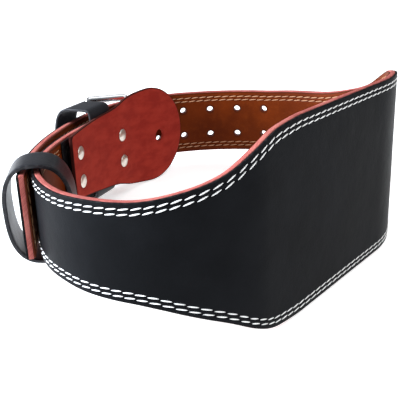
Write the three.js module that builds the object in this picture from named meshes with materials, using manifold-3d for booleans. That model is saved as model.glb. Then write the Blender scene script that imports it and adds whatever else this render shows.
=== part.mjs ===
// Weightlifting belt: one long strap of three bonded leather layers, standing on
// its edge as a closed loop, with a wide lumbar panel, a double-prong roller
// buckle, a suede guard flap held by four rivets, and two loose keepers.
// Millimetres, +Z up. Seen from above, the strap runs anticlockwise from the
// buckle end to the tip of the tail, so the wearer's side is on its left.

import * as THREE from 'three';
import { mergeVertices } from 'three/addons/utils/BufferGeometryUtils.js';
import Module from 'manifold-3d';

const wasm = await Module();
wasm.setup();

// The strap
const beltLength = 1237;
const narrowWidth = 66;
const panelWidth = 152;
const panelStart = 0.372 * beltLength;
const panelLength = 0.131 * beltLength;
const flareLength = 0.162 * beltLength;
const leatherThickness = 1.8;
const coreThickness = 3.4;
const liningThickness = 1.5;
const layerGap = 0.3;
const leatherInset = 0.3;
const liningInset = 1.0;
const foldLength = 131;
const buckleEndHeading = -111.2;

// The guard flap and its rivets
const guardThickness = 2.8;
const guardHeight = 97;
const guardOverlap = 127;
const guardLift = 20;
const guardReach = 90;
const guardRise = 8;
const guardDrop = 9;
const guardRoundStart = 0.74;
const guardHoleRadius = 6.5;
const guardHoleShare = 0.811;
const guardHoleDrop = 3;
const rivetColumns = [29, 110];
const rivetColumnRise = [0, 5];
const rivetRowHeight = 13;
const rivetHeadRadius = 6;
const rivetHeadHeight = 1.7;
const rivetShankRadius = 2;
const rivetHoleRadius = 2.35;

// The punched holes of the tail
const holeColumns = 10;
const prongColumn = 6;
const prongHole = 1005;
const holePitch = 30;
const firstHole = prongHole - prongColumn * holePitch;
const holeRowHeight = 13.75;
const holeRadius = 3.25;

// The buckle
const barRadius = 2.6;
const railRadius = 3.4;
const railHeight = narrowWidth / 2 + 7.5;
const frameRise = 2;
const frameCornerRadius = 5;
const barSetback = 6;
const rollerRadius = 5;
const rollerLength = narrowWidth - 4;
const rollerPastHole = 24;
const fitGap = 0.3;
const prongTipRun = 7;
const prongRadius = 1.9;
const prongEyeRadius = 5.2;
const prongEyeHeight = 4.4;
const prongSlotHeight = 5.6;

// The keepers
const keeperWidth = 34;
const guardKeeperAlong = 58;
const guardKeeperThickness = 2.4;
const guardKeeperGap = 0.9;
const guardKeeperOuter = 33;
const guardKeeperHalfHeight = 42.3;
const guardKeeperRise = 4.2;
const looseKeeperAlong = 190;
const looseKeeperThickness = 3.2;
const looseKeeperHalfWidth = 27;
const looseKeeperHalfHeight = narrowWidth / 2 + 11;
const looseKeeperLean = 13;
const looseKeeperDrop = 4;

// Mesh fineness
const stationStep = 10;
const punchSides = 8;
const wireSides = 10;

// Depths from the middle of the core; plus is the wearer's side
const outerDepth = -(coreThickness / 2 + layerGap + leatherThickness / 2);
const liningDepth = coreThickness / 2 + layerGap + liningThickness / 2;
const foldDepth = liningDepth + liningThickness / 2 + layerGap + leatherThickness / 2;
const keeperLegDepth = foldDepth + leatherThickness / 2 + guardKeeperGap;
const guardDepth = keeperLegDepth + guardKeeperThickness + guardKeeperGap + guardThickness / 2;
const outerFaceDepth = outerDepth - leatherThickness / 2;
const strapThickness = leatherThickness + coreThickness + liningThickness + 2 * layerGap;

// How the strap bends in plan, from the buckle end to the tail's tip
const bends = [
  { stretch: 'buckle end', share: 0.034, turn: -5 },
  { stretch: 'under the guard', share: 0.055, turn: 12 },
  { stretch: 'left side', share: 0.0445, turn: 10 },
  { stretch: 'left front', share: 0.0825, turn: 48 },
  { stretch: 'front, left', share: 0.0364, turn: 25 },
  { stretch: 'front, flaring', share: 0.0396, turn: 23 },
  { stretch: 'knee before the panel', share: 0.0461, turn: 50 },
  { stretch: 'lumbar panel', share: 0.1385, turn: 0 },
  { stretch: 'right side', share: 0.0224, turn: 14 },
  { stretch: 'right back corner', share: 0.093, turn: 66 },
  { stretch: 'back', share: 0.1673, turn: 69 },
  { stretch: 'left back corner', share: 0.0622, turn: 43 },
  { stretch: 'tail over the buckle end', share: 0.1785, turn: 36 },
];

// How the strap widens from a narrow end to the panel
const flare = [
  { share: 0, growth: 0 },
  { share: 0.125, growth: 0.03 },
  { share: 0.31, growth: 0.07 },
  { share: 0.39, growth: 0.125 },
  { share: 0.465, growth: 0.21 },
  { share: 0.545, growth: 0.32 },
  { share: 0.625, growth: 0.465 },
  { share: 0.72, growth: 0.71 },
  { share: 0.795, growth: 0.87 },
  { share: 0.855, growth: 0.94 },
  { share: 1, growth: 1 },
];

// How the guard flap bends once it lifts off the strap
const guardBends = [
  { stretch: 'inward, off the buckle', share: 0.32, turn: -14 },
  { stretch: 'back beside the tail', share: 0.68, turn: 4 },
];

// Half height of the guard flap along its length, before its round end
const guardOutline = [
  { share: 0, half: 0.295 },
  { share: 0.08, half: 0.31 },
  { share: 0.28, half: 0.355 },
  { share: 0.44, half: 0.39 },
  { share: 0.55, half: 0.45 },
  { share: 0.64, half: 0.48 },
  { share: 0.74, half: 0.5 },
];

// Interpolate one column of a table over its share column
function lookUp(table, column, share) {
  const next = table.findIndex((row) => row.share >= share);
  if (next <= 0) {
    return next === 0 ? table[0][column] : table[table.length - 1][column];
  }
  const low = table[next - 1];
  const high = table[next];
  const part = (share - low.share) / (high.share - low.share);
  return low[column] + part * (high[column] - low[column]);
}

// A place in plan is a point with a heading in radians; move it along an arc
function moveAlong(place, run, turn) {
  const half = turn / 2;
  const chord = half === 0 ? run : run * Math.sin(half) / half;
  return {
    x: place.x + chord * Math.cos(place.heading + half),
    y: place.y + chord * Math.sin(place.heading + half),
    heading: place.heading + turn,
  };
}

// Shift a place sideways towards the wearer
function shiftInward(place, depth) {
  return {
    ...place,
    x: place.x - depth * Math.sin(place.heading),
    y: place.y + depth * Math.cos(place.heading),
  };
}

function turnedRound(place) {
  return { ...place, heading: place.heading + Math.PI };
}

// Follow a table of bends, shares of one length, from a starting place
function followBends(table, length, start, along) {
  let place = start;
  let left = along;
  for (const bend of table) {
    const run = bend.share * length;
    const turn = THREE.MathUtils.degToRad(bend.turn);
    if (left <= run) {
      return moveAlong(place, left, left < 0 ? 0 : turn * left / run);
    }
    place = moveAlong(place, run, turn);
    left -= run;
  }
  return place;
}

// The middle of the core at a distance along the belt from its buckle end
const buckleEnd = { x: 0, y: 0, heading: THREE.MathUtils.degToRad(buckleEndHeading) };

function beltPlace(along) {
  return followBends(bends, beltLength, buckleEnd, along);
}

function halfWidth(along) {
  const fromNearFlare = along - (panelStart - flareLength);
  const fromFarFlare = panelStart + panelLength + flareLength - along;
  const share = Math.min(fromNearFlare, fromFarFlare, flareLength) / flareLength;
  const growth = lookUp(flare, 'growth', Math.max(share, 0));
  return (narrowWidth + growth * (panelWidth - narrowWidth)) / 2;
}

// Evenly spaced numbers from one value to another, both included
function spaced(from, to, step) {
  const count = Math.max(1, Math.round(Math.abs(to - from) / step));
  return Array.from({ length: count + 1 }, (_, i) => from + (to - from) * i / count);
}

// Join rings of points into one closed body; an open row of rings gets end caps
function sweep(rings, closed) {
  const sides = rings[0].length;
  const positions = rings.flat().flatMap((point) => [point.x, point.y, point.z]);
  const faces = [];
  const last = closed ? rings.length : rings.length - 1;
  for (let i = 0; i < last; i += 1) {
    const here = i * sides;
    const there = ((i + 1) % rings.length) * sides;
    for (let k = 0; k < sides; k += 1) {
      const next = (k + 1) % sides;
      faces.push(here + k, here + next, there + next);
      faces.push(here + k, there + next, there + k);
    }
  }
  if (!closed) {
    const end = (rings.length - 1) * sides;
    for (let k = 1; k < sides - 1; k += 1) {
      faces.push(0, k + 1, k);
      faces.push(end, end + k, end + k + 1);
    }
  }
  const geometry = new THREE.BufferGeometry();
  geometry.setAttribute('position', new THREE.Float32BufferAttribute(positions, 3));
  geometry.setIndex(faces);
  return geometry;
}

// An upright band of leather through places that also hold its half width
function uprightBand(places, thickness) {
  const rings = places.map((place) => {
    const inner = shiftInward(place, thickness / 2);
    const outer = shiftInward(place, -thickness / 2);
    const middle = place.middle ?? 0;
    return [
      new THREE.Vector3(outer.x, outer.y, middle - place.half),
      new THREE.Vector3(inner.x, inner.y, middle - place.half),
      new THREE.Vector3(inner.x, inner.y, middle + place.half),
      new THREE.Vector3(outer.x, outer.y, middle + place.half),
    ];
  });
  return sweep(rings, false);
}

function toSolid(geometry) {
  const bare = geometry.clone();
  bare.deleteAttribute('normal');
  bare.deleteAttribute('uv');
  const merged = mergeVertices(bare, 1e-4);
  return new wasm.Manifold(new wasm.Mesh({
    numProp: 3,
    vertProperties: new Float32Array(merged.attributes.position.array),
    triVerts: new Uint32Array(merged.index.array),
  }));
}

function fromSolid(solid) {
  const mesh = solid.getMesh();
  const geometry = new THREE.BufferGeometry();
  geometry.setAttribute('position', new THREE.Float32BufferAttribute(mesh.vertProperties, 3));
  geometry.setIndex(Array.from(mesh.triVerts));
  return geometry;
}

function cutAway(geometry, cutters) {
  let solid = toSolid(geometry);
  for (const cutter of cutters) {
    solid = solid.subtract(toSolid(cutter));
  }
  return fromSolid(solid);
}

// A round bar lying through the strap at a place, centred on a given depth
function crossBar(place, radius, length, depth, height) {
  const bar = new THREE.CylinderGeometry(radius, radius, length, punchSides);
  const centre = shiftInward(place, depth);
  bar.rotateZ(place.heading);
  bar.translate(centre.x, centre.y, height);
  return bar;
}

function punches(columns, rise, rowHeight, radius, length, depth) {
  return columns.flatMap((along, column) => [-1, 1].map((side) => (
    crossBar(beltPlace(along), radius, length, depth, rise[column] + side * rowHeight)
  )));
}

const holeLength = 4 * (leatherThickness + coreThickness + liningThickness);
const tailColumns = Array.from({ length: holeColumns }, (_, i) => firstHole + i * holePitch);
const tailRise = tailColumns.map(() => 0);
const tailHoles = punches(tailColumns, tailRise, holeRowHeight, holeRadius, holeLength, 0);
const rivetGripMiddle = (outerFaceDepth + guardDepth + guardThickness / 2) / 2;
const rivetHoles = punches(
  rivetColumns, rivetColumnRise, rivetRowHeight, rivetHoleRadius, holeLength, rivetGripMiddle,
);

// One bonded layer over the whole length
function strapLayer(depth, thickness, inset) {
  const places = spaced(0, beltLength, stationStep).map((along) => ({
    ...shiftInward(beltPlace(along), depth),
    half: halfWidth(along) - inset,
  }));
  return cutAway(uprightBand(places, thickness), [...tailHoles, ...rivetHoles]);
}

// The heel bar stands in the fold at the buckle end
const foldMiddle = (foldDepth + outerDepth) / 2;
const foldRadius = (foldDepth - outerDepth) / 2;
const heelPlace = shiftInward(beltPlace(-barSetback), foldMiddle);

// The outer leather runs the whole length and folds back round the heel bar
function outerLeather() {
  const half = narrowWidth / 2 - leatherInset;
  const back = spaced(foldLength, 0, stationStep).map((along) => ({
    ...turnedRound(shiftInward(beltPlace(along), foldDepth)),
    half,
  }));
  const round = spaced(0, Math.PI, Math.PI / 8).map((angle) => {
    const heading = heelPlace.heading + Math.PI + angle;
    return { ...shiftInward({ ...heelPlace, heading }, -foldRadius), half };
  });
  const front = spaced(0, beltLength, stationStep).map((along) => ({
    ...shiftInward(beltPlace(along), outerDepth),
    half: halfWidth(along) - leatherInset,
  }));
  const band = uprightBand([...back, ...round, ...front], leatherThickness);
  const slots = [-1, 1].map((side) => {
    const reach = 2 * (foldRadius + leatherThickness);
    const slot = new THREE.BoxGeometry(reach, reach + leatherThickness, prongSlotHeight);
    slot.rotateZ(heelPlace.heading);
    slot.translate(heelPlace.x, heelPlace.y, side * holeRowHeight);
    return slot;
  });
  return cutAway(band, [...tailHoles, ...rivetHoles, ...slots]);
}

// The guard flap is riveted inside the buckle end and reaches past the buckle
const guardLength = guardOverlap - guardLift + guardReach;

function guardPlace(along) {
  const onBelt = guardOverlap - along;
  const laid = turnedRound(shiftInward(beltPlace(Math.max(onBelt, guardLift)), guardDepth));
  return followBends(guardBends, guardReach, laid, Math.max(0, guardLift - onBelt));
}

function guardMiddle(share) {
  return guardRise - guardDrop * share;
}

function guardFlap() {
  const roundFrom = guardRoundStart * guardLength;
  const straightRuns = spaced(0, roundFrom, stationStep);
  const roundRuns = spaced(0, Math.PI / 2, Math.PI / 22).slice(1, -1).map((angle) => (
    roundFrom + (guardLength - roundFrom) * Math.sin(angle)
  ));
  const places = [...straightRuns, ...roundRuns].map((along) => {
    const share = along / guardLength;
    const past = Math.max(0, share - guardRoundStart) / (1 - guardRoundStart);
    const half = guardHeight * lookUp(guardOutline, 'half', share) * Math.sqrt(1 - past * past);
    return { ...guardPlace(along), half, middle: guardMiddle(share) };
  });
  const hole = crossBar(
    guardPlace(guardHoleShare * guardLength),
    guardHoleRadius,
    4 * guardThickness,
    0,
    guardMiddle(guardHoleShare) - guardHoleDrop,
  );
  return cutAway(uprightBand(places, guardThickness), [...rivetHoles, hole]);
}

// A double-cap rivet along +Y, turned to stand through the strap at a place
function rivet(along, height) {
  const grip = guardDepth + guardThickness / 2 - outerFaceDepth;
  const inner = grip / 2 + fitGap;
  const outer = -inner;
  const profile = [
    new THREE.Vector2(0, outer - rivetHeadHeight),
    new THREE.Vector2(0.55 * rivetHeadRadius, outer - 0.85 * rivetHeadHeight),
    new THREE.Vector2(0.85 * rivetHeadRadius, outer - 0.5 * rivetHeadHeight),
    new THREE.Vector2(0.9 * rivetHeadRadius, outer),
    new THREE.Vector2(rivetShankRadius, outer),
    new THREE.Vector2(rivetShankRadius, inner),
    new THREE.Vector2(rivetHeadRadius, inner),
    new THREE.Vector2(0.92 * rivetHeadRadius, inner + 0.5 * rivetHeadHeight),
    new THREE.Vector2(0.6 * rivetHeadRadius, inner + 0.85 * rivetHeadHeight),
    new THREE.Vector2(0, inner + rivetHeadHeight),
  ];
  const mesh = new THREE.LatheGeometry(profile, 14);
  const place = beltPlace(along);
  const centre = shiftInward(place, rivetGripMiddle);
  mesh.rotateZ(place.heading);
  mesh.translate(centre.x, centre.y, height);
  return mesh;
}

// The roller stands outside the tail, past the holes that take the prongs
const prongPlace = beltPlace(prongHole);
const rollerPlace = shiftInward(
  beltPlace(prongHole + rollerPastHole),
  outerFaceDepth - rollerRadius - 2 * fitGap,
);
const frameLength = Math.hypot(rollerPlace.x - heelPlace.x, rollerPlace.y - heelPlace.y);
const frameHeading = Math.atan2(rollerPlace.y - heelPlace.y, rollerPlace.x - heelPlace.x);

// One closed wire frame: heel bar, two rails and the bar inside the roller
function buckleFrame() {
  const outline = [];
  const barTop = narrowWidth / 2 + 2 * fitGap;
  for (const corner of [
    { across: frameLength, side: 1, from: 0, bar: 0 },
    { across: 0, side: 1, from: Math.PI / 2, bar: Math.PI },
    { across: 0, side: -1, from: Math.PI, bar: Math.PI },
    { across: frameLength, side: -1, from: 1.5 * Math.PI, bar: 2 * Math.PI },
  ]) {
    const inset = corner.across === 0 ? frameCornerRadius : -frameCornerRadius;
    const arc = spaced(corner.from, corner.from + Math.PI / 2, Math.PI / 10).map((angle) => ({
      across: corner.across + inset + frameCornerRadius * Math.cos(angle),
      height: corner.side * (railHeight - frameCornerRadius)
        + frameCornerRadius * Math.sin(angle) + frameRise,
      angle,
    }));
    const barEnd = {
      across: corner.across,
      height: corner.side * (barTop - fitGap),
      angle: corner.bar,
    };
    outline.push(...(corner.bar === corner.from ? [barEnd, ...arc] : [...arc, barEnd]));
  }
  const rings = outline.map((point) => {
    const radius = Math.abs(point.height) < barTop ? barRadius : railRadius;
    return spaced(0, 2 * Math.PI, 2 * Math.PI / wireSides).slice(1).map((turn) => {
      const out = radius * Math.cos(turn);
      const across = point.across + out * Math.cos(point.angle);
      const sideways = radius * Math.sin(turn);
      return new THREE.Vector3(
        heelPlace.x + across * Math.cos(frameHeading) - sideways * Math.sin(frameHeading),
        heelPlace.y + across * Math.sin(frameHeading) + sideways * Math.cos(frameHeading),
        point.height + out * Math.sin(point.angle),
      );
    });
  });
  return sweep(rings, true);
}

// A tube standing upright in plan at a place
function uprightTube(place, inside, outside, length, height) {
  const profile = [
    new THREE.Vector2(inside, -length / 2),
    new THREE.Vector2(outside, -length / 2),
    new THREE.Vector2(outside, length / 2),
    new THREE.Vector2(inside, length / 2),
    new THREE.Vector2(inside, -length / 2),
  ];
  const tube = new THREE.LatheGeometry(profile, 16);
  tube.rotateX(Math.PI / 2);
  tube.translate(place.x, place.y, height);
  return tube;
}

// A prong hangs on the heel bar by its eye and bends out through a tail hole,
// over the roller; its points are set out from the hole, along and outward
function prong(height) {
  const direction = new THREE.Vector2(Math.cos(prongPlace.heading), Math.sin(prongPlace.heading));
  const outward = new THREE.Vector2(direction.y, -direction.x);
  const fromHole = (place) => {
    const offset = new THREE.Vector2(place.x - prongPlace.x, place.y - prongPlace.y);
    return { along: offset.dot(direction), out: offset.dot(outward) };
  };
  const eye = fromHole(heelPlace);
  const roller = fromHole(rollerPlace);
  const clear = rollerRadius + prongRadius + fitGap;
  const wayPoints = [
    { along: eye.along, out: eye.out + (barRadius + prongEyeRadius) / 2 },
    { along: -0.85 * strapThickness, out: -1.01 * strapThickness },
    { along: -0.1 * strapThickness, out: -0.58 * strapThickness },
    { along: 0.1 * strapThickness, out: 0.6 * strapThickness },
    { along: 0.93 * strapThickness, out: 1.15 * strapThickness },
    { along: roller.along - 0.3 * rollerRadius, out: roller.out + clear },
    { along: roller.along + prongTipRun, out: roller.out + clear - 0.3 * rollerRadius },
  ].map((point) => new THREE.Vector3(
    prongPlace.x + point.along * direction.x + point.out * outward.x,
    prongPlace.y + point.along * direction.y + point.out * outward.y,
    height,
  ));
  const circle = new THREE.Shape().absarc(0, 0, prongRadius, 0, 2 * Math.PI);
  const rod = new THREE.ExtrudeGeometry(circle, {
    steps: 26,
    curveSegments: wireSides / 2,
    extrudePath: new THREE.CatmullRomCurve3(wayPoints, false, 'centripetal'),
  });
  const eyeRing = uprightTube(
    heelPlace, barRadius + fitGap, prongEyeRadius, prongEyeHeight, height,
  );
  const bore = uprightTube(heelPlace, 0, barRadius + fitGap, 2 * prongEyeHeight, height);
  return fromSolid(toSolid(rod).add(toSolid(eyeRing)).subtract(toSolid(bore)));
}

// A leather loop standing across the strap: flat on the wearer's side when its
// inner squareness is high, bulging on the other
function keeperLoop(place, shape) {
  const middle = (shape.inner + shape.outer) / 2;
  const half = (shape.outer - shape.inner) / 2;
  const outline = spaced(0, 2 * Math.PI, Math.PI / 16).slice(1).map((angle) => {
    const c = Math.cos(angle);
    const s = Math.sin(angle);
    const outerSquareness = s > 0 ? shape.upperSquareness : shape.lowerSquareness;
    const power = 2 / (c > 0 ? outerSquareness : shape.innerSquareness);
    return new THREE.Vector2(
      middle + half * Math.sign(c) * Math.abs(c) ** power,
      shape.halfHeight * Math.sign(s) * Math.abs(s) ** power,
    );
  });
  const lean = Math.tan(THREE.MathUtils.degToRad(shape.lean));
  const rings = outline.map((point, i) => {
    const before = outline[(i + outline.length - 1) % outline.length];
    const after = outline[(i + 1) % outline.length];
    const tangent = after.clone().sub(before).normalize();
    const normal = new THREE.Vector2(tangent.y, -tangent.x).multiplyScalar(shape.thickness / 2);
    const corner = (side, edge) => {
      const out = point.x + side * normal.x;
      const height = point.y + side * normal.y - shape.drop;
      const along = edge * keeperWidth / 2 + lean * height;
      return new THREE.Vector3(
        place.x + along * Math.cos(place.heading) + out * Math.sin(place.heading),
        place.y + along * Math.sin(place.heading) - out * Math.cos(place.heading),
        height,
      );
    };
    return [corner(-1, -1), corner(1, -1), corner(1, 1), corner(-1, 1)];
  });
  return sweep(rings, true);
}

// The finishes
const blackLeather = { color: 0x17171a, roughness: 0.42, metalness: 0 };
const keeperLeather = { color: 0x26262a, roughness: 0.38, metalness: 0 };
const redCore = { color: 0xb24e49, roughness: 0.75, metalness: 0 };
const brownLining = { color: 0x6a3208, roughness: 0.6, metalness: 0 };
const redSuede = { color: 0x96322f, roughness: 0.95, metalness: 0 };
const nickel = { color: 0xb4afa4, roughness: 0.4, metalness: 0.9 };
const chrome = { color: 0xd4d7dc, roughness: 0.15, metalness: 1 };

const belt = new THREE.Group();

function addPiece(name, geometry, finish) {
  const mesh = new THREE.Mesh(geometry, new THREE.MeshStandardMaterial(finish));
  mesh.name = name;
  belt.add(mesh);
}

addPiece('core', strapLayer(0, coreThickness, 0), redCore);
addPiece('outer_leather', outerLeather(), blackLeather);
addPiece('lining', strapLayer(liningDepth, liningThickness, liningInset), brownLining);
addPiece('buckle_guard', guardFlap(), redSuede);

rivetColumns.forEach((along, column) => {
  const rise = rivetColumnRise[column];
  addPiece(`rivet_upper_${column + 1}`, rivet(along, rise + rivetRowHeight), nickel);
  addPiece(`rivet_lower_${column + 1}`, rivet(along, rise - rivetRowHeight), nickel);
});

addPiece('buckle_frame', buckleFrame(), chrome);
addPiece(
  'roller',
  uprightTube(rollerPlace, barRadius + fitGap, rollerRadius, rollerLength, 0),
  chrome,
);
addPiece('prong_upper', prong(holeRowHeight), chrome);
addPiece('prong_lower', prong(-holeRowHeight), chrome);

addPiece('guard_keeper', keeperLoop(beltPlace(guardKeeperAlong), {
  inner: -(keeperLegDepth + guardKeeperThickness / 2),
  outer: guardKeeperOuter - guardKeeperThickness / 2,
  halfHeight: guardKeeperHalfHeight,
  thickness: guardKeeperThickness,
  upperSquareness: 3.1,
  lowerSquareness: 11,
  innerSquareness: 12,
  lean: 0,
  drop: -guardKeeperRise,
}), keeperLeather);

addPiece('loose_keeper', keeperLoop(beltPlace(looseKeeperAlong), {
  inner: -looseKeeperHalfWidth + looseKeeperThickness / 2,
  outer: looseKeeperHalfWidth - looseKeeperThickness / 2,
  halfHeight: looseKeeperHalfHeight - looseKeeperThickness / 2,
  thickness: looseKeeperThickness,
  upperSquareness: 2.6,
  lowerSquareness: 2.6,
  innerSquareness: 2.6,
  lean: looseKeeperLean,
  drop: looseKeeperDrop,
}), keeperLeather);

// The belt stands on the lower edge of its wide panel and leans to the wearer's
// side until something on the far side of the loop touches the floor
function lowerEdge(along) {
  const place = shiftInward(beltPlace(along), coreThickness / 2);
  return new THREE.Vector3(place.x, place.y, -halfWidth(along));
}

const edgeStart = lowerEdge(panelStart);
const edgeLine = lowerEdge(panelStart + panelLength).sub(edgeStart).normalize();
const inward = new THREE.Vector3(-edgeLine.y, edgeLine.x, 0);
let leanAngle = Infinity;
for (const mesh of belt.children) {
  const points = mesh.geometry.attributes.position;
  for (let i = 0; i < points.count; i += 1) {
    const offset = new THREE.Vector3().fromBufferAttribute(points, i).sub(edgeStart);
    const reach = offset.dot(inward);
    if (reach > panelWidth) {
      leanAngle = Math.min(leanAngle, Math.atan2(offset.z, reach));
    }
  }
}
belt.quaternion.setFromAxisAngle(edgeLine, -leanAngle);

// The origin is the middle of the footprint, on the floor
const bounds = new THREE.Box3().setFromObject(belt, true);
belt.position.set(
  -(bounds.min.x + bounds.max.x) / 2,
  -(bounds.min.y + bounds.max.y) / 2,
  -bounds.min.z,
);

export default belt;
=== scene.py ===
import math

import bmesh
import bpy
from mathutils import Matrix, Quaternion, Vector


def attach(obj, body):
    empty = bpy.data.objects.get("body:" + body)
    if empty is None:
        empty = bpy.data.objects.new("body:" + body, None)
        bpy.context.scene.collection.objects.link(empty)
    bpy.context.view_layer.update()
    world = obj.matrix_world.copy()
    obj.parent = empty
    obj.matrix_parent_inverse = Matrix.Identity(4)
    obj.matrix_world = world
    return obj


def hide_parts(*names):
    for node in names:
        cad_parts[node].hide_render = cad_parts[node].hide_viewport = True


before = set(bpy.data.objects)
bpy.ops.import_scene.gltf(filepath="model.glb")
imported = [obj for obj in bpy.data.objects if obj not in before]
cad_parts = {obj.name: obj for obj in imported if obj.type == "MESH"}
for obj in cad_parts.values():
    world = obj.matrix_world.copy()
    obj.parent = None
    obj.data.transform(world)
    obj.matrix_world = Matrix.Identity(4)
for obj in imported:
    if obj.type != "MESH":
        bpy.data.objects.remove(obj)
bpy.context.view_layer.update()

# Sizes of the belt in millimetres, as its solids have them
strap_length = 1237
narrow_width = 66
panel_width = 152
panel_start = 0.372 * strap_length
panel_length = 0.131 * strap_length
flare_length = 0.162 * strap_length
leather = 1.8
core = 3.4
lining = 1.5
layer_gap = 0.3
leather_inset = 0.3
lining_inset = 1.0
fold_length = 131
buckle_end_heading = -111.2

guard = 2.8
guard_height = 97
guard_overlap = 127
guard_lift = 20
guard_reach = 90
guard_rise = 8
guard_drop = 9
guard_round_start = 0.74
guard_hole_radius = 6.5
guard_hole_share = 0.811
guard_hole_drop = 3
rivet_columns = ((29, 0), (110, 5))
rivet_row = 13
rivet_radius = 6
rivet_height = 1.7
rivet_shank = 2
rivet_hole = 2.3

hole_columns = 10
prong_column = 6
prong_hole = 1005
hole_pitch = 30
first_hole = prong_hole - prong_column * hole_pitch
hole_row = 13.75
hole_radius = 3.25

bar_radius = 2.6
rail_radius = 3.4
rail_height = 40.5
frame_rise = 2
corner_radius = 5
bar_setback = 6
roller_radius = 5
roller_length = 62
roller_past_hole = 24
fit_gap = 0.3
prong_radius = 1.9
prong_tip_run = 7
eye_radius = 5.2
eye_height = 4.4
slot_height = 5.6

stitch_length = 7.9
stitch_pitch = 8.4
stitch_slant = math.radians(7)
outer_stitch_rows = (4.1, 7.8)
inner_stitch_rows = (4.8, 8.4)
outer_thread = 1.15
inner_thread = 1.1
first_inner_stitch = fold_length + 4

keeper_width = 34
guard_keeper_along = 58
guard_keeper = 2.4
keeper_gap = 0.9
guard_keeper_outer = 33
guard_keeper_half = 42.3
guard_keeper_rise = 4.2
guard_keeper_squareness = {"upper": 3.1, "lower": 11, "inner": 12}
loose_keeper_along = 190
loose_keeper = 3.2
loose_keeper_reach = 27
loose_keeper_half = 44
loose_keeper_lean = 13
loose_keeper_drop = 4
loose_keeper_squareness = {"upper": 2.6, "lower": 2.6, "inner": 2.6}

# How the strap bends in plan: share of its length, degrees to the left
bends = (
    (0.034, -5), (0.055, 12), (0.0445, 10), (0.0825, 48), (0.0364, 25),
    (0.0396, 23), (0.0461, 50), (0.1385, 0), (0.0224, 14), (0.093, 66),
    (0.1673, 69), (0.0622, 43), (0.1785, 36),
)
guard_bends = ((0.32, -14), (0.68, 4))

# How the strap widens from narrow to the panel, and the guard's half height
flare = (
    (0, 0), (0.125, 0.03), (0.31, 0.07), (0.39, 0.125), (0.465, 0.21), (0.545, 0.32),
    (0.625, 0.465), (0.72, 0.71), (0.795, 0.87), (0.855, 0.94), (1, 1),
)
guard_outline = (
    (0, 0.295), (0.08, 0.31), (0.28, 0.355), (0.44, 0.39), (0.55, 0.45), (0.64, 0.48),
    (0.74, 0.5),
)

# How the finished belt stands on the floor
STANDING = (
    Matrix.Translation(Vector((-89.7, 108.576, 45.421)) * 0.001)
    @ Quaternion((0.99816773, -0.03604276, -0.04860152, 0)).to_matrix().to_4x4()
    @ Matrix.Scale(0.001, 4)
)

# Depths from the middle of the core; plus is the wearer's side
strap_thickness = leather + core + lining + 2 * layer_gap
outer_depth = -(core / 2 + layer_gap + leather / 2)
outer_face = outer_depth - leather / 2
lining_depth = core / 2 + layer_gap + lining / 2
lining_face = lining_depth + lining / 2
fold_depth = lining_face + layer_gap + leather / 2
keeper_leg = fold_depth + leather / 2 + keeper_gap
guard_depth = keeper_leg + guard_keeper + keeper_gap + guard / 2
fold_middle = (fold_depth + outer_depth) / 2
fold_radius = (fold_depth - outer_depth) / 2

# Places on the belt


def smooth_look_up(table, share):
    """One value of a table at a share, with a smooth curve between its rows."""
    rows = [(2 * table[0][0] - table[1][0], table[0][1]), *table,
            (2 * table[-1][0] - table[-2][0], table[-1][1])]
    share = min(max(share, table[0][0]), table[-1][0])
    for before, low, high, after in zip(rows, rows[1:], rows[2:], rows[3:]):
        if share <= high[0]:
            width = high[0] - low[0]
            part = (share - low[0]) / width
            start = (high[1] - before[1]) / (high[0] - before[0]) * width
            end = (after[1] - low[1]) / (after[0] - low[0]) * width
            return (
                (2 * part**3 - 3 * part**2 + 1) * low[1] + (part**3 - 2 * part**2 + part) * start
                + (3 * part**2 - 2 * part**3) * high[1] + (part**3 - part**2) * end
            )
    return table[-1][1]


def move_along(place, run, turn):
    x, y, heading = place
    half = turn / 2
    chord = run if half == 0 else run * math.sin(half) / half
    return (
        x + chord * math.cos(heading + half), y + chord * math.sin(heading + half),
        heading + turn,
    )


def shift_inward(place, depth):
    x, y, heading = place
    return x - depth * math.sin(heading), y + depth * math.cos(heading), heading


def turned_round(place):
    return place[0], place[1], place[2] + math.pi


def follow_bends(table, length, place, along):
    for share, degrees in table:
        run = share * length
        turn = math.radians(degrees)
        if along <= run:
            return move_along(place, along, 0 if along < 0 else turn * along / run)
        place = move_along(place, run, turn)
        along -= run
    return place


def strap_place(along):
    return follow_bends(bends, strap_length, (0, 0, math.radians(buckle_end_heading)), along)


def half_width(along):
    near = along - (panel_start - flare_length)
    far = panel_start + panel_length + flare_length - along
    share = min(near, far, flare_length) / flare_length
    return (narrow_width + smooth_look_up(flare, share) * (panel_width - narrow_width)) / 2


heel = shift_inward(strap_place(-bar_setback), fold_middle)
fold_arc = math.pi * fold_radius
fold_start = -2 * bar_setback - fold_arc - fold_length


def outer_place(along):
    """The outer leather's middle: below the buckle end it turns back on itself."""
    if along >= -bar_setback:
        return shift_inward(strap_place(along), outer_depth)
    past_fold = along + bar_setback + fold_arc
    if past_fold >= 0:
        heading = heel[2] + math.pi + past_fold / fold_radius
        return shift_inward((heel[0], heel[1], heading), -fold_radius)
    return turned_round(shift_inward(strap_place(-bar_setback - past_fold), fold_depth))


guard_length = guard_overlap - guard_lift + guard_reach


def guard_place(along):
    on_strap = guard_overlap - along
    laid = shift_inward(strap_place(max(on_strap, guard_lift)), guard_depth)
    return follow_bends(guard_bends, guard_reach, turned_round(laid), max(0, guard_lift - on_strap))


def guard_middle(along):
    return guard_rise - guard_drop * along / guard_length


prong_place = strap_place(prong_hole)
roller_place = shift_inward(
    strap_place(prong_hole + roller_past_hole), outer_face - roller_radius - 2 * fit_gap,
)

# Blanks: flat leather, punched and edged, then bent into its place
punch_depth = 30
no_punch_near = 50


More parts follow.
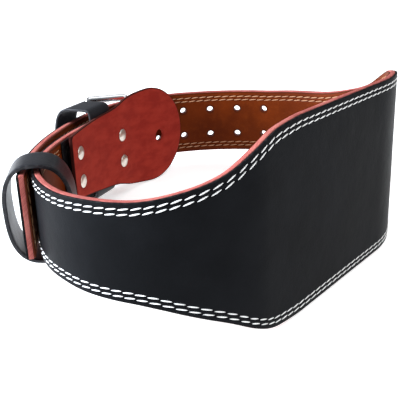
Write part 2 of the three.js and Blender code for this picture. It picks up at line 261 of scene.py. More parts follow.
def thicken(bm, thickness):
    """Give a flat grid its second face and its rim."""
    top = bmesh.ops.extrude_face_region(bm, geom=bm.faces[:], use_keep_orig=True)["geom"]
    lifted = [part for part in top if isinstance(part, bmesh.types.BMVert)]
    bmesh.ops.translate(bm, vec=(0, 0, thickness), verts=lifted)
    bmesh.ops.recalc_face_normals(bm, faces=bm.faces)


def round_edges(bm, edges, offset, segments=3):
    bmesh.ops.bevel(
        bm, geom=edges, offset=offset, offset_type="OFFSET", segments=segments, profile=0.5,
        affect="EDGES", material=-1,
    )


def flat_blank(start, end, step, rows, thickness, edge_round, shape):
    """A flat solid piece: X along it, Y across it, Z out of its outer face."""
    bm = bmesh.new()
    bmesh.ops.create_grid(bm, x_segments=round((end - start) / step), y_segments=rows, size=1)
    for vert in bm.verts:
        along, across = shape(start + (end - start) * (vert.co.x + 1) / 2, vert.co.y)
        vert.co = Vector((along, across, -thickness / 2))
    thicken(bm, thickness)
    round_edges(bm, [edge for edge in bm.edges if edge.calc_face_angle(0) > 1], edge_round)
    return bm


def as_object(name, bm):
    mesh = bpy.data.meshes.new(name)
    bm.to_mesh(mesh)
    bm.free()
    piece = bpy.data.objects.new(name, mesh)
    bpy.context.scene.collection.objects.link(piece)
    return piece


def punch(bm, holes):
    """Punch round holes, each (along, across, radius), or slots with a half length."""
    cutter_mesh = bmesh.new()
    for along, across, radius, *half_slot in holes:
        place = Matrix.Translation((along, across, 0))
        if half_slot:
            size = Matrix.Diagonal((2 * half_slot[0], 2 * radius, punch_depth, 1))
            made = bmesh.ops.create_cube(cutter_mesh, size=1, matrix=place @ size)
            upright = {
                edge for vert in made["verts"] for edge in vert.link_edges
                if abs(edge.verts[0].co.z - edge.verts[1].co.z) > 1
            }
            round_edges(cutter_mesh, list(upright), 0.95 * radius, 6)
        else:
            bmesh.ops.create_cone(
                cutter_mesh, cap_ends=True, segments=28, radius1=radius, radius2=radius,
                depth=punch_depth, matrix=place,
            )
    blank = as_object("blank", bm)
    cutter = as_object("cutter", cutter_mesh)
    boolean = blank.modifiers.new("punch", "BOOLEAN")
    boolean.operation = "DIFFERENCE"
    boolean.solver = "EXACT"
    boolean.object = cutter
    ready = blank.evaluated_get(bpy.context.evaluated_depsgraph_get())
    punched = bmesh.new()
    punched.from_mesh(ready.to_mesh())
    ready.to_mesh_clear()
    for used in (blank, cutter):
        mesh = used.data
        bpy.data.objects.remove(used)
        bpy.data.meshes.remove(mesh)
    return punched


def mark_pattern(bm, edge_at, punches=()):
    """Keep a flat piece's measures: its pattern, and how far its edge and its holes are."""
    pattern = bm.loops.layers.uv.new("Pattern")
    edge = bm.verts.layers.float.new("Edge")
    punched = bm.verts.layers.float.new("Punch")
    for face in bm.faces:
        for loop in face.loops:
            flat = loop.vert.co
            loop[pattern].uv = (flat.x, flat.y + flat.z)
    for vert in bm.verts:
        along, across = vert.co.xy
        vert[edge] = edge_at(along, across)
        vert[punched] = min(
            (math.hypot(along - hole[0], across - hole[1]) for hole in punches),
            default=no_punch_near,
        )


def bend_onto(bm, place_at, edge_at, middle_at=lambda along: 0, punches=()):
    """Bend a flat piece onto its path."""
    mark_pattern(bm, edge_at, punches)
    for vert in bm.verts:
        along, across, out = vert.co
        x, y, heading = place_at(along)
        vert.co = Vector((
            x + out * math.sin(heading), y - out * math.cos(heading), across + middle_at(along),
        ))
    return bm


def rings_joined(rings, sides, closed=False):
    """A turned or bent round piece: one circle after another, each (matrix, radius)."""
    bm = bmesh.new()
    loops = []
    for number, (matrix, radius) in enumerate(rings):
        ends = not closed and number in (0, len(rings) - 1)
        made = bmesh.ops.create_circle(
            bm, cap_ends=ends, segments=sides, radius=radius, matrix=matrix,
        )
        loops.append(list({edge for vert in made["verts"] for edge in vert.link_edges}))
    pairs = list(zip(loops, loops[1:]))
    if closed:
        pairs.append((loops[-1], loops[0]))
    for one, other in pairs:
        bmesh.ops.bridge_loops(bm, edges=one + other)
    bmesh.ops.recalc_face_normals(bm, faces=bm.faces)
    return bm


def turned(profile, place, sides=32, closed=False):
    """A piece turned on the Z axis of a place; the profile is (radius, height)."""
    return rings_joined(
        [(place @ Matrix.Translation((0, 0, height)), radius) for radius, height in profile],
        sides, closed,
    )


def wire(points, radii, sides=16, closed=False):
    """A round wire through points, with its radius at each one."""
    rings = []
    count = len(points)
    for number, (point, radius) in enumerate(zip(points, radii)):
        before = points[(number - 1) % count] if closed or number else point
        after = points[(number + 1) % count] if closed or number < count - 1 else point
        turn = (after - before).to_track_quat("Z", "Y").to_matrix().to_4x4()
        rings.append((Matrix.Translation(point) @ turn, radius))
    return rings_joined(rings, sides, closed)


def joined(first, *others):
    for other in others:
        mesh = bpy.data.meshes.new("part")
        other.to_mesh(mesh)
        other.free()
        first.from_mesh(mesh)
        bpy.data.meshes.remove(mesh)
    return first


def make_piece(name, bm, finish, nodes, sharp=40):
    bmesh.ops.transform(bm, matrix=STANDING, verts=bm.verts)
    piece = as_object(name, bm)
    piece.data.materials.append(finish)
    piece.data.shade_smooth()
    piece.data.set_sharp_from_angle(angle=math.radians(sharp))
    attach(piece, "root")
    if nodes:
        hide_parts(*nodes)
    return piece


# Finishes


class Value:
    """A socket of a finish; arithmetic on it adds Math nodes."""

    def __init__(self, finish, socket):
        self.finish = finish
        self.socket = socket

    def math(self, operation, *others):
        return self.finish.add("Math", {"operation": operation}, dict(enumerate((self, *others))))

    def swapped(self, operation, other):
        return self.finish.add("Math", {"operation": operation}, {0: other, 1: self})

    def __add__(self, other):
        return self.math("ADD", other)

    def __radd__(self, other):
        return self.swapped("ADD", other)

    def __sub__(self, other):
        return self.math("SUBTRACT", other)

    def __rsub__(self, other):
        return self.swapped("SUBTRACT", other)

    def __mul__(self, other):
        return self.math("MULTIPLY", other)

    def __rmul__(self, other):
        return self.swapped("MULTIPLY", other)

    def __abs__(self):
        return self.math("ABSOLUTE")

    def fade(self, start, end):
        """0 at start, 1 at end, smooth between them, whichever is larger."""
        if start > end:
            return 1 - self.fade(end, start)
        return self.finish.add(
            "MapRange", {"interpolation_type": "SMOOTHSTEP"},
            {0: self, "From Min": start, "From Max": end},
        )


class Finish:
    """One node material, built up from its shader."""

    def __init__(self, name):
        self.material = bpy.data.materials.new(name)
        self.material.use_nodes = True
        self.nodes = self.material.node_tree.nodes
        self.links = self.material.node_tree.links
        self.shader = next(node for node in self.nodes if node.type == "BSDF_PRINCIPLED")
        coordinates = self.add("TexCoord", {}, {}, "Object")
        self.position = self.add(
            "VectorMath", {"operation": "SCALE"}, {0: coordinates, "Scale": 1000},
        )

    def add(self, kind, settings, inputs, output=0):
        node = self.nodes.new("ShaderNode" + kind)
        for name, setting in settings.items():
            if name == "stops":
                ramp = node.color_ramp
                while len(ramp.elements) < len(setting):
                    ramp.elements.new(0.5)
                for element, (place, colour) in zip(ramp.elements, setting):
                    element.position = place
                    element.color = (*colour, 1)
            else:
                setattr(node, name, setting)
        self.set(node, inputs)
        return Value(self, node.outputs[output])

    def set(self, node, inputs):
        for key, value in inputs.items():
            if isinstance(value, Value):
                self.links.new(value.socket, node.inputs[key])
            else:
                node.inputs[key].default_value = value

    def noise(self, scale, detail=3, roughness=0.5, vector=None):
        return self.add(
            "TexNoise", {},
            {"Vector": vector or self.position, "Scale": scale, "Detail": detail,
             "Roughness": roughness},
        )

    def cells(self, scale, feature="F1", vector=None):
        return self.add(
            "TexVoronoi", {"feature": feature},
            {"Vector": vector or self.position, "Scale": scale},
        )

    def attribute(self, name):
        return self.add("Attribute", {"attribute_name": name}, {}, "Fac")

    def pattern(self, along, across):
        """The flat pattern of the leather in millimetres, scaled each way."""
        flat = self.add("UVMap", {"uv_map": "Pattern"}, {})
        return self.add(
            "VectorMath", {"operation": "MULTIPLY"}, {0: flat, 1: (along, across, 1)},
        )

    def mix(self, share, first, second):
        first, second = (
            (*colour, 1) if isinstance(colour, tuple) else colour for colour in (first, second)
        )
        return self.add("Mix", {"data_type": "RGBA"}, {0: share, 6: first, 7: second}, 2)

    def bump(self, height, distance, strength=1.0, under=None):
        inputs = {"Height": height, "Distance": distance * 0.001, "Strength": strength}
        if under:
            inputs["Normal"] = under
        return self.add("Bump", {}, inputs)

    def done(self, **inputs):
        named = {key.replace("_", " "): value for key, value in inputs.items()}
        self.set(self.shader, {
            key: (*value, 1) if isinstance(value, tuple) and len(value) == 3 else value
            for key, value in named.items()
        })
        return self.material


def srgb(red, green, blue):
    return tuple(
        channel / 12.92 if channel <= 0.04045 else ((channel + 0.055) / 1.055) ** 2.4
        for channel in (red / 255, green / 255, blue / 255)
    )


def stitch_channel(edge, rows):
    """1 along the two pressed lines that the stitches lie in."""
    near, far = (abs(edge - row).fade(1.3, 0.35) for row in rows)
    return near.math("MAXIMUM", far)


def leather_grain(finish, scale):
    """Pebbled grain of smooth leather, with its pores and fine creases."""
    wander = finish.noise(0.35 * scale, 2)
    moved = finish.add(
        "VectorMath", {"operation": "MULTIPLY_ADD"},
        {0: wander, 1: (0.6 / scale,) * 3, 2: finish.position},
    )
    pebbles = finish.cells(scale, "SMOOTH_F1", moved)
    creases = finish.cells(0.45 * scale, "DISTANCE_TO_EDGE", moved).fade(0, 0.12)
    return pebbles * 0.55 + creases * 0.25 + finish.noise(2.4 * scale, 3) * 0.35


def black_leather(name, deep, worn_and_sheen, stitched, roughness, shine):
    finish = Finish(name)
    edge = finish.attribute("Edge")
    punch_near = finish.attribute("Punch")
    cloudy = finish.noise(0.02, 4)
    rubbed = finish.noise(0.35, 4, 0.6)
    tone = finish.mix(cloudy.fade(0.35, 0.7), deep, tuple(1.45 * c for c in deep))
    edge_wear = edge.fade(1.2, 0.1) * rubbed.fade(0.4, 0.7)
    tone = finish.mix(edge_wear * 0.4, tone, worn_and_sheen)
    # Round each tail hole the leather turns lighter: real wear, with a painted sheen ring.
    wear_and_sheen_ring = abs(punch_near - 5.0).fade(1.0, 0.1)
    tone = finish.mix(wear_and_sheen_ring * 0.25 * rubbed, tone, worn_and_sheen)
    height = leather_grain(finish, 0.85)
    grain = finish.bump(height, 0.16, 0.45)
    if stitched:
        channel = stitch_channel(edge, outer_stitch_rows)
        # Painted shade: the pressed stitch grooves are darker.
        tone = finish.mix(channel * 0.5, tone, tuple(0.5 * c for c in deep))
        grain = finish.bump(1 - channel, 0.5, 0.6, grain)
    soft = finish.noise(0.045, 3)
    shape = finish.bump(soft, 1.6, 0.3, grain)
    return finish.done(
        Base_Color=tone,
        Roughness=roughness + 0.12 * (cloudy - 0.5) + 0.1 * (rubbed - 0.5) + edge_wear * 0.1,
        Normal=shape,
        Specular_IOR_Level=shine,
    )


def brown_leather(name):
    finish = Finish(name)
    edge = finish.attribute("Edge")
    punch_near = finish.attribute("Punch")
    cloudy = finish.noise(0.016, 4, 0.6)
    mottled = finish.noise(0.16, 5, 0.65)
    tone = finish.mix(cloudy.fade(0.3, 0.72), srgb(82, 29, 3), srgb(104, 41, 6))
    tone = finish.mix(mottled.fade(0.45, 0.75) * 0.3, tone, srgb(120, 52, 10))
    tone = finish.mix(edge.fade(2.0, 0.2) * 0.6, tone, srgb(46, 16, 4))
    tone = finish.mix(abs(punch_near - 4.2).fade(1.6, 0.2) * 0.5, tone, srgb(44, 16, 4))
    channel = stitch_channel(edge, inner_stitch_rows)
    # Painted shade: the pressed stitch grooves are darker.
    tone = finish.mix(channel * 0.55, tone, srgb(46, 16, 2))
    grain = finish.bump(leather_grain(finish, 0.8), 0.14, 0.45)
    grain = finish.bump(1 - channel, 0.4, 0.6, grain)
    grain = finish.bump(finish.noise(0.05, 3), 1.4, 0.3, grain)
    return finish.done(
        Base_Color=tone,
        Roughness=0.5 + 0.18 * (mottled - 0.5),
        Normal=grain,
        Specular_IOR_Level=0.06,
    )


def raw_core(name):
    finish = Finish(name)
    fibres = finish.noise(1, 4, 0.6, finish.pattern(0.12, 1.6))
    fuzz = finish.noise(1.6, 3)
    patches = finish.noise(0.03, 3)
    tone = finish.mix(fibres.fade(0.32, 0.7), srgb(132, 60, 55), srgb(180, 98, 90))
    tone = finish.mix(patches.fade(0.45, 0.75) * 0.5, tone, srgb(184, 112, 102))
    tone = finish.mix(fuzz.fade(0.55, 0.8) * 0.35, tone, srgb(96, 38, 34))
    return finish.done(
        Base_Color=tone,
        Roughness=0.78 + 0.15 * (fuzz - 0.5),
        Normal=finish.bump(fibres * 0.6 + fuzz * 0.5, 0.3, 0.6),
        Specular_IOR_Level=0.3,
    )


def red_suede(name):
    finish = Finish(name)
    edge = finish.attribute("Edge")
    punch_near = finish.attribute("Punch")
    nap = finish.noise(2.6, 4, 0.7)
    brushed = finish.noise(1, 4, 0.6, finish.pattern(0.035, 0.09))
    patches = finish.noise(0.06, 4, 0.6)
    tone = finish.mix(brushed.fade(0.35, 0.68), srgb(138, 38, 30), srgb(158, 50, 38))
    tone = finish.mix(patches.fade(0.5, 0.75) * 0.4, tone, srgb(172, 62, 48))
    tone = finish.mix(nap.fade(0.5, 0.75) * 0.35, tone, srgb(108, 24, 18))
    tone = finish.mix(edge.fade(1.3, 0.5), tone, srgb(48, 15, 12))
    # Painted shadow: the suede is darker in a ring round each rivet cap.
    tone = finish.mix(punch_near.fade(8.5, 6.2) * 0.35, tone, srgb(84, 22, 18))
    height = nap * 0.7 + finish.noise(0.9, 3) * 0.6
    surface = finish.bump(height, 0.3, 0.5)
    surface = finish.bump(patches, 1.5, 0.2, surface)
    return finish.done(
        Base_Color=tone,
        Roughness=0.92 + 0.08 * (nap - 0.5),
        Normal=surface,
        Specular_IOR_Level=0.06,
        Sheen_Weight=0.12,
        Sheen_Roughness=0.5,
        Sheen_Tint=(0.8, 0.3, 0.24),
    )


def thread(name, clean, soiled_and_shaded):
    """Waxed thread; its twist follows each stitch."""
    finish = Finish(name)
    twist = finish.add(
        "TexWave", {"bands_direction": "DIAGONAL"},
        {"Vector": finish.pattern(1, 1), "Scale": 0.42, "Distortion": 0.3},
    )
    dirt = finish.noise(0.06, 3)
    tone = finish.mix(dirt.fade(0.5, 0.8) * 0.6, clean, soiled_and_shaded)
    # Darker along the twist's grooves: painted shade between the plies.
    tone = finish.mix((1 - twist) * 0.35, tone, soiled_and_shaded)
    return finish.done(
        Base_Color=tone,
        Roughness=0.62 + 0.1 * (dirt - 0.5),
        Normal=finish.bump(twist, 0.25, 0.7),
    )


def plated_metal(name, colour, roughness, marks):
    finish = Finish(name)
    stretched = finish.add(
        "VectorMath", {"operation": "MULTIPLY"}, {0: finish.position, 1: (0.4, 0.4, 3.2)},
    )
    scratches = finish.noise(1.1, 4, 0.7, stretched).fade(0.58, 0.72)
    smudges = finish.noise(0.12, 4)
    pits = finish.noise(1.5, 2).fade(0.66, 0.74)
    tone = finish.mix(smudges.fade(0.4, 0.75) * marks, colour, tuple(0.72 * c for c in colour))
    tone = finish.mix(pits * marks * 0.7, tone, tuple(0.35 * c for c in colour))
    return finish.done(
        Base_Color=tone,
        Metallic=1.0,
        Roughness=roughness + marks * 0.25 * (smudges - 0.4) + 0.12 * scratches,
        Normal=finish.bump(scratches + pits, 0.05, 0.3 * marks),
    )


outer_finish = black_leather("black_leather", srgb(16, 17, 19), srgb(60, 58, 58), True, 0.4, 0.018)
keeper_finish = black_leather("keeper_leather", srgb(30, 31, 35), srgb(76, 75, 78), False, 0.36, 0.15)
lining_finish = brown_leather("brown_leather")
core_finish = raw_core("core_leather")
suede_finish = red_suede("red_suede")
white_thread = thread("white_thread", srgb(252, 252, 252), srgb(196, 194, 190))
beige_thread = thread("beige_thread", srgb(196, 146, 108), srgb(122, 72, 42))
nickel_finish = plated_metal("nickel", srgb(232, 228, 218), 0.38, 0.45)
chrome_finish = plated_metal("chrome", srgb(222, 224, 228), 0.13, 0.25)

# The strap

tail_holes = [
    (first_hole + column * hole_pitch, side * hole_row, hole_radius)
    for column in range(hole_columns) for side in (-1, 1)
]
rivet_holes = [
    (column, rise + side * rivet_row, rivet_hole)
    for column, rise in rivet_columns for side in (-1, 1)
]


def strap_shape(inset):
    def shape(along, share):
        return along, share * (half_width(along) - inset)
    return shape


def strap_edge(inset):
    def distance(along, across):
        return min(half_width(along) - inset - abs(across), strap_length - along)
    return distance


def strap_layer(thickness, depth, inset, edge_round):
    blank = flat_blank(0, strap_length, 4, 16, thickness, edge_round, strap_shape(inset))
    holes = tail_holes + rivet_holes
    return bend_onto(
        punch(blank, holes), lambda along: shift_inward(strap_place(along), depth),
        strap_edge(inset), punches=tail_holes,
    )


make_piece(
    "strap_core", strap_layer(core + 2 * layer_gap - 0.1, 0, 0, 0.5), core_finish, ["core"],
)
make_piece(
    "strap_lining", strap_layer(lining, lining_depth, lining_inset, 0.5), lining_finish,
    ["lining"],
)

fold_middle_along = -bar_setback - fold_arc / 2
fold_holes = [
    (-2 * bar_setback - fold_arc - column, height, radius)
    for column, height, radius in rivet_holes
]
prong_slots = [
    (fold_middle_along, side * hole_row, slot_height / 2, fold_arc / 2 + fold_radius + leather)
    for side in (-1, 1)
]


def outer_edge(along, across):
    return min(
        half_width(along) - leather_inset - abs(across), strap_length - along,
        along - fold_start,
    )


outer_blank = flat_blank(
    fold_start, strap_length, 3.5, 16, leather, 0.55, strap_shape(leather_inset),
)
make_piece(
    "strap_outer",
    bend_onto(
        punch(outer_blank, tail_holes + rivet_holes + fold_holes + prong_slots),
        outer_place, outer_edge, punches=tail_holes,
    ),
    outer_finish, ["outer_leather"],
)

# The stitches: two rows along each edge, and across the tail's tip


def lay_stitches(rows, width, depth, out):
    """Slanted stitches at (along, across, slope) points, laid in small batches for speed."""
    batch = 40
    batches = [rows[start:start + batch] for start in range(0, len(rows), batch)]
    return joined(*(stitch_batch(some, width, depth, out) for some in batches))


def stitch_batch(rows, width, depth, out):
    bm = bmesh.new()
    bm.loops.layers.uv.new("Pattern")
    for along, across, slope in rows:
        x, y, heading = shift_inward(strap_place(along), depth)
        slope += out * stitch_slant
        lengthwise = Vector((
            math.cos(heading) * math.cos(slope), math.sin(heading) * math.cos(slope),
            math.sin(slope),
        ))
        outward = Vector((math.sin(heading), -math.cos(heading), 0)) * out
        sideways = outward.cross(lengthwise)
        turn = Matrix((lengthwise, sideways, outward)).transposed().to_4x4()
        size = Matrix.Diagonal((stitch_length / 2, width / 2, 0.38 * width, 1))
        bmesh.ops.create_uvsphere(
            bm, u_segments=6, v_segments=7, radius=1,
            matrix=Matrix.Translation((x, y, across)) @ turn @ size
            @ Matrix.Rotation(math.pi / 2, 4, "Y"),
        )
    pattern = bm.loops.layers.uv["Pattern"]
    for face in bm.faces:
        centre = face.calc_center_median()
        for loop in face.loops:
            loop[pattern].uv = (loop.vert.co - centre).to_2d()
    return bm


def stitch_line(start, end, from_edge, inset):
    """Stitches that follow both edges at one distance, evenly along the leather."""
    found = []
    for side in (-1, 1):
        count = round((end - start) / stitch_pitch)
        for number in range(count):
            along = start + (end - start) * (number + 0.5) / count
            step = 2
            rise = half_width(along + step) - half_width(along - step)
            found.append((
                along, side * (half_width(along) - inset - from_edge),
                side * math.atan2(rise, 2 * step),
            ))
    return found


def tip_line(from_edge, inset):
    """The row that crosses the tail just before its tip."""
    reach = narrow_width / 2 - inset - from_edge
    count = round(2 * reach / stitch_pitch)
    return [
        (strap_length - from_edge, -reach + 2 * reach * (number + 0.5) / count, math.pi / 2)
        for number in range(count)
    ]


outside_rows = []
inside_rows = []
for row in outer_stitch_rows:
    outside_rows += stitch_line(0.5 * stitch_pitch, strap_length - row, row, leather_inset)
    outside_rows += tip_line(row, leather_inset)
for row in inner_stitch_rows:
    inside_rows += stitch_line(first_inner_stitch, strap_length - row, row, lining_inset)
    inside_rows += tip_line(row, lining_inset)

outside_stitches = lay_stitches(outside_rows, outer_thread, outer_face, 1)
inside_stitches = lay_stitches(inside_rows, inner_thread, lining_face, -1)
make_piece("outside_stitches", outside_stitches, white_thread, [], sharp=180)
make_piece("inside_stitches", inside_stitches, beige_thread, [], sharp=180)

# The guard flap and its rivets

guard_round = (1 - guard_round_start) * guard_length


def guard_shape(along, share):
    """Straight sides, then half an ellipse without a pole at its end."""
    half = guard_height * smooth_look_up(guard_outline, along / guard_length)
    past = (along - guard_round_start * guard_length) / guard_round
    if past <= 0:
        return along, share * half
    return (
        along - past * guard_round + guard_round * past * math.sqrt(1 - share**2 / 2),
        share * half * math.sqrt(1 - past**2 / 2),
    )


def guard_edge(along, across):
    half = guard_height * smooth_look_up(guard_outline, along / guard_length)
    past = max(0, along - guard_round_start * guard_length) / guard_round
    if past == 0:
        return min(half - abs(across), along)
    return (1 - math.hypot(past, across / half)) * min(half, guard_round)


guard_rivets = [
    (guard_overlap - column, height - guard_middle(guard_overlap - column), radius)
    for column, height, radius in rivet_holes
]
guard_hole = (guard_hole_share * guard_length, -guard_hole_drop, guard_hole_radius)
make_piece(
    "guard_flap",
    bend_onto(
        punch(
            flat_blank(0, guard_length, 4, 20, guard, 0.6, guard_shape),
            [*guard_rivets, guard_hole],
        ),
        guard_place, guard_edge, guard_middle, punches=guard_rivets,
    ),
    suede_finish, ["buckle_guard"],
)


def facing(place, height, depth=0.0):
    """A place whose Z points to the wearer's side, at a height."""
    x, y, heading = shift_inward(place, depth)
    across = Vector((-math.sin(heading), math.cos(heading), 0))
    ahead = Vector((math.cos(heading), math.sin(heading), 0))
    turn = Matrix((ahead, across.cross(ahead), across)).transposed().to_4x4()
    return Matrix.Translation((x, y, height)) @ turn


guard_face = guard_depth + guard / 2
rivet_middle = (outer_face + guard_face) / 2
cap = (guard_face - outer_face) / 2
rivet_profile = (
    (0.6, -cap - rivet_height), (0.5 * rivet_radius, -cap - 0.93 * rivet_height),
    (0.76 * rivet_radius, -cap - 0.72 * rivet_height), (0.88 * rivet_radius, -cap - 0.35),
    (0.9 * rivet_radius, -cap), (rivet_shank, -cap), (rivet_shank, cap), (0.97 * rivet_radius, cap),
    (rivet_radius, cap + 0.2), (0.97 * rivet_radius, cap + 0.45),
    (0.86 * rivet_radius, cap + 0.8), (0.68 * rivet_radius, cap + 1.25),
    (0.42 * rivet_radius, cap + 1.6), (0.6, cap + rivet_height),
)
for row_name, side in (("upper", 1), ("lower", -1)):
    for number, (column, rise) in enumerate(rivet_columns, 1):
        place = facing(strap_place(column), rise + side * rivet_row, rivet_middle)
        make_piece(
            f"rivet_cap_{row_name}_{number}", turned(rivet_profile, place), nickel_finish,
            [f"rivet_{row_name}_{number}"],
        )

# The buckle: a wire frame, a roller and two prongs

frame_run = Vector((roller_place[0] - heel[0], roller_place[1] - heel[1], 0))
frame_along = frame_run.normalized()
heel_point = Vector((heel[0], heel[1], 0))
bar_top = narrow_width / 2 + 2 * fit_gap


def frame_wire():
    points = []
    inner = rail_height - corner_radius
    for across, side, start in (
        (frame_run.length, 1, 0), (0, 1, 90), (0, -1, 180), (frame_run.length, -1, 270),
    ):
        inset = corner_radius if across == 0 else -corner_radius
        for step in range(9):
            angle = math.radians(start + 90 * step / 8)
            points.append((
                across + inset + corner_radius * math.cos(angle),
                side * inner + corner_radius * math.sin(angle) + frame_rise,
            ))
        bar_end = (across, side * (bar_top - fit_gap))
        points.insert(len(points) - (9 if start in (0, 180) else 0), bar_end)
    path = []
    radii = []
    count = len(points)
    for number, (across, height) in enumerate(points):
        path.append(heel_point + frame_along * across + Vector((0, 0, height)))
        radii.append(rail_radius if abs(height) > bar_top else bar_radius)
        following = points[(number + 1) % count]
        gap = math.hypot(following[0] - across, following[1] - height)
        if gap > 12:
            for share in (0.01, 0.03, 0.35, 0.65, 0.97, 0.99):
                between = (
                    across + share * (following[0] - across),
                    height + share * (following[1] - height),
                )
                path.append(heel_point + frame_along * between[0] + Vector((0, 0, between[1])))
                thin = abs(between[1]) < bar_top - 0.5
                radii.append(bar_radius if thin else rail_radius)
    return wire(path, radii, 20, closed=True)


make_piece("buckle_wire", frame_wire(), chrome_finish, ["buckle_frame"])

roller_axis = Matrix.Translation((roller_place[0], roller_place[1], 0))
end = roller_length / 2
make_piece(
    "roller_tube",
    turned(
        (
            (bar_radius + fit_gap, -end), (roller_radius - 0.9, -end),
            (roller_radius - 0.25, -end + 0.25), (roller_radius, -end + 0.9),
            (roller_radius, -end + 1.2), (roller_radius, end - 1.2),
            (roller_radius, end - 0.9), (roller_radius - 0.25, end - 0.25),
            (roller_radius - 0.9, end), (bar_radius + fit_gap, end),
        ),
        roller_axis, 32, closed=True,
    ),
    chrome_finish, ["roller"],
)


def smooth_path(points, steps):
    """A curve through points, with the chord lengths as its pace."""
    ends = [2 * points[0] - points[1], *points, 2 * points[-1] - points[-2]]
    path = []
    for before, low, high, after in zip(ends, ends[1:], ends[2:], ends[3:]):
        first, middle, last = (
            max((b - a).length, 0.01) ** 0.5 for a, b in ((before, low), (low, high), (high, after))
        )
        out = (low - before) / first - (high - before) / (first + middle) + (high - low) / middle
        into = (high - low) / middle - (after - low) / (middle + last) + (after - high) / last
        for step in range(steps):
            part = step / steps
            path.append(
                (2 * part**3 - 3 * part**2 + 1) * low
                + (part**3 - 2 * part**2 + part) * out * middle
                + (3 * part**2 - 2 * part**3) * high
                + (part**3 - part**2) * into * middle
            )
    return [*path, points[-1]]


def prong_mesh(height):
    ahead = Vector((math.cos(prong_place[2]), math.sin(prong_place[2]), 0))
    outward = Vector((ahead.y, -ahead.x, 0))
    hole = Vector((prong_place[0], prong_place[1], 0))

    def from_hole(place):
        offset = Vector((place[0], place[1], 0)) - hole
        return offset.dot(ahead), offset.dot(outward)

    eye = from_hole(heel)
    roller = from_hole(roller_place)
    clear = roller_radius + prong_radius + fit_gap
    way = smooth_path([
        hole + along * ahead + out * outward + Vector((0, 0, height))
        for along, out in (
            (eye[0], eye[1] + (bar_radius + eye_radius) / 2),
            (-0.85 * strap_thickness, -1.01 * strap_thickness),
            (-0.1 * strap_thickness, -0.58 * strap_thickness),
            (0.1 * strap_thickness, 0.6 * strap_thickness),
            (0.93 * strap_thickness, 1.15 * strap_thickness),
            (roller[0] - 0.3 * roller_radius, roller[1] + clear),
            (roller[0] + prong_tip_run, roller[1] + clear - 0.3 * roller_radius),
        )
    ], 6)
    tip = (way[-1] - way[-2]).normalized()
    path = way + [way[-1] + tip * reach for reach in (0.7, 1.2, 1.5)]
    radii = [prong_radius] * len(way) + [0.86 * prong_radius, 0.6 * prong_radius, 0.25]
    half = eye_height / 2
    eye_ring = turned(
        (
            (bar_radius + fit_gap, -half), (eye_radius - 0.5, -half),
            (eye_radius, -half + 0.5), (eye_radius, half - 0.5), (eye_radius - 0.5, half),
            (bar_radius + fit_gap, half),
        ),
        Matrix.Translation((heel[0], heel[1], height)), 28, closed=True,
    )
    return joined(wire(path, radii, 14), eye_ring)


for row_name, side in (("upper", 1), ("lower", -1)):
    make_piece(
        f"prong_wire_{row_name}", prong_mesh(side * hole_row), chrome_finish,
        [f"prong_{row_name}"],
    )

# The keepers
weld = 0.01
keeper_edge_round = 0.8


def loop_outline(inner, outer, half_height, squareness):
    """Points round a keeper, from the wearer's side: flatter where it is squarer."""
    middle = (inner + outer) / 2
    half = (outer - inner) / 2
    points = []
    count = 360
    for number in range(count + 1):
        angle = math.pi + 2 * math.pi * number / count
        c = math.cos(angle)
        s = math.sin(angle)
        outer_side = "upper" if s > 0 else "lower"
        power = 2 / squareness[outer_side if c > 0 else "inner"]
        points.append((
            middle + half * math.copysign(abs(c) ** power, c),
            half_height * math.copysign(abs(s) ** power, s),
        ))
    return points


def keeper_blank(around, thickness):
    """A flat strip of keeper leather, with its long edges rounded and its ends open."""
    blank = bmesh.new()
    bmesh.ops.create_grid(blank, x_segments=150, y_segments=8, size=1)
    for vert in blank.verts:
        vert.co = Vector((
            around * (vert.co.x + 1) / 2, vert.co.y * keeper_width / 2, -thickness / 2,
        ))
    thicken(blank, thickness)
    long_rim = [
        edge for edge in blank.edges
        if all(abs(abs(vert.co.y) - keeper_width / 2) < weld for vert in edge.verts)
        and abs(edge.verts[0].co.x - edge.verts[1].co.x) > weld
    ]
    round_edges(blank, long_rim, keeper_edge_round)
    ends = [
        face for face in blank.faces
        if all(vert.co.x < weld for vert in face.verts)
        or all(vert.co.x > around - weld for vert in face.verts)
    ]
    bmesh.ops.delete(blank, geom=ends, context="FACES")
    return blank


def on_outline(outline, lengths, run, lift):
    """Where a keeper's leather is after a run round its outline, lifted off its middle."""
    run = run % lengths[-1]
    number = min(
        max(0, next(i for i, length in enumerate(lengths) if length >= run) - 1),
        len(outline) - 2,
    )
    one, other = outline[number], outline[number + 1]
    part = (run - lengths[number]) / (lengths[number + 1] - lengths[number])
    tangent = Vector((other[0] - one[0], other[1] - one[1])).normalized()
    return (
        one[0] + part * (other[0] - one[0]) + lift * tangent.y,
        one[1] + part * (other[1] - one[1]) - lift * tangent.x,
    )


def keeper(name, node, along, outline, thickness, lean, drop):
    """A closed leather loop round the strap, leaning along it and hanging lower by a drop."""
    lengths = [0]
    for one, other in zip(outline, outline[1:]):
        lengths.append(lengths[-1] + math.dist(one, other))
    blank = keeper_blank(lengths[-1], thickness)
    mark_pattern(blank, lambda run, across: keeper_width / 2 - abs(across))
    x, y, heading = strap_place(along)
    slant = math.tan(math.radians(lean))
    for vert in blank.verts:
        out, height = on_outline(outline, lengths, vert.co.x, vert.co.z)
        height -= drop
        ahead = vert.co.y + slant * height
        vert.co = Vector((
            x + ahead * math.cos(heading) + out * math.sin(heading),
            y + ahead * math.sin(heading) - out * math.cos(heading),
            height,
        ))
    bmesh.ops.remove_doubles(blank, verts=blank.verts, dist=weld)
    bmesh.ops.recalc_face_normals(blank, faces=blank.faces)
    make_piece(name, blank, keeper_finish, [node])


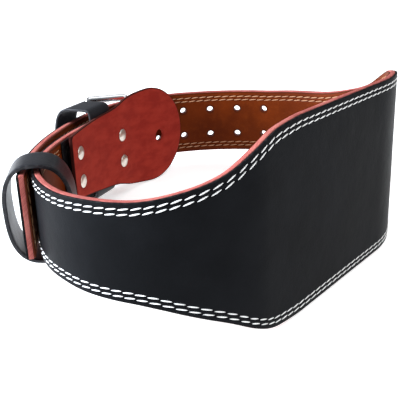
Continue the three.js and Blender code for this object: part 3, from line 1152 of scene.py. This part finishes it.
keeper(
    "keeper_by_the_guard", "guard_keeper", guard_keeper_along,
    loop_outline(
        -(keeper_leg + guard_keeper / 2), guard_keeper_outer - guard_keeper / 2,
        guard_keeper_half, guard_keeper_squareness,
    ),
    guard_keeper, 0, -guard_keeper_rise,
)
keeper(
    "keeper_by_the_tip", "loose_keeper", loose_keeper_along,
    loop_outline(
        -loose_keeper_reach + loose_keeper / 2, loose_keeper_reach - loose_keeper / 2,
        loose_keeper_half - loose_keeper / 2, loose_keeper_squareness,
    ),
    loose_keeper, loose_keeper_lean, loose_keeper_drop,
)

# Floor, light and camera

floor_finish = Finish("pale_floor")
floor_material = floor_finish.done(
    Base_Color=floor_finish.mix(
        floor_finish.noise(0.004, 2), srgb(244, 244, 244), srgb(250, 250, 250),
    ),
    Roughness=0.9,
    Specular_IOR_Level=0.1,
    Emission_Color=(1, 1, 1),
    Emission_Strength=0.55,
)
floor_mesh = bmesh.new()
bmesh.ops.create_grid(floor_mesh, x_segments=1, y_segments=1, size=8)
floor = as_object("floor", floor_mesh)
floor.data.materials.append(floor_material)


def softbox(name, place, aim, size, power, colour=(1, 1, 1)):
    light = bpy.data.lights.new(name, "AREA")
    light.shape = "RECTANGLE"
    light.size, light.size_y = size
    light.energy = power
    light.color = colour
    lamp = bpy.data.objects.new(name, light)
    bpy.context.scene.collection.objects.link(lamp)
    lamp.location = place
    lamp.rotation_mode = "QUATERNION"
    lamp.rotation_quaternion = (Vector(aim) - Vector(place)).to_track_quat("-Z", "Y")
    return lamp


softbox("overhead_softbox", (0, 0.2, 1.9), (0, 0, 0), (2.4, 2.4), 24)
softbox("left_softbox", (-1.3, -0.15, 0.5), (0, 0, 0.08), (0.5, 0.8), 65, (0.84, 0.91, 1))
softbox("right_softbox", (1.4, -1.2, 1.0), (0, 0, 0.08), (1.0, 1.2), 16)

world = bpy.data.worlds.new("studio")
world.use_nodes = True
background = world.node_tree.nodes["Background"]
background.inputs["Color"].default_value = (0.93, 0.96, 1, 1)
background.inputs["Strength"].default_value = 0.22
bpy.context.scene.world = world
bpy.context.scene.view_settings.view_transform = "Standard"

# The camera sees the belt's own axis run to a point far below the picture
focal_pixels = 700
picture_pixels = 400
axis_runs_to = (70, 1870.2)
camera_on_belt = Vector((81.6, -689.9, 189.29))
axis_seen = -Vector((*axis_runs_to, focal_pixels)).normalized()
right_seen = Vector((1, 0, 0))
right_seen = (right_seen - right_seen.dot(axis_seen) * axis_seen).normalized()
away_seen = axis_seen.cross(right_seen)
seen = Matrix((right_seen, away_seen, axis_seen)).transposed()
lean = STANDING.to_quaternion().to_matrix()
camera_data = bpy.data.cameras.new("camera")
camera_data.sensor_width = 36
camera_data.lens = focal_pixels / picture_pixels * camera_data.sensor_width
camera = bpy.data.objects.new("camera", camera_data)
bpy.context.scene.collection.objects.link(camera)
turn = lean @ Matrix((seen[0], -seen[1], -seen[2])).transposed()
camera.matrix_world = Matrix.Translation(STANDING @ camera_on_belt) @ turn.to_4x4()
bpy.context.scene.camera = camera
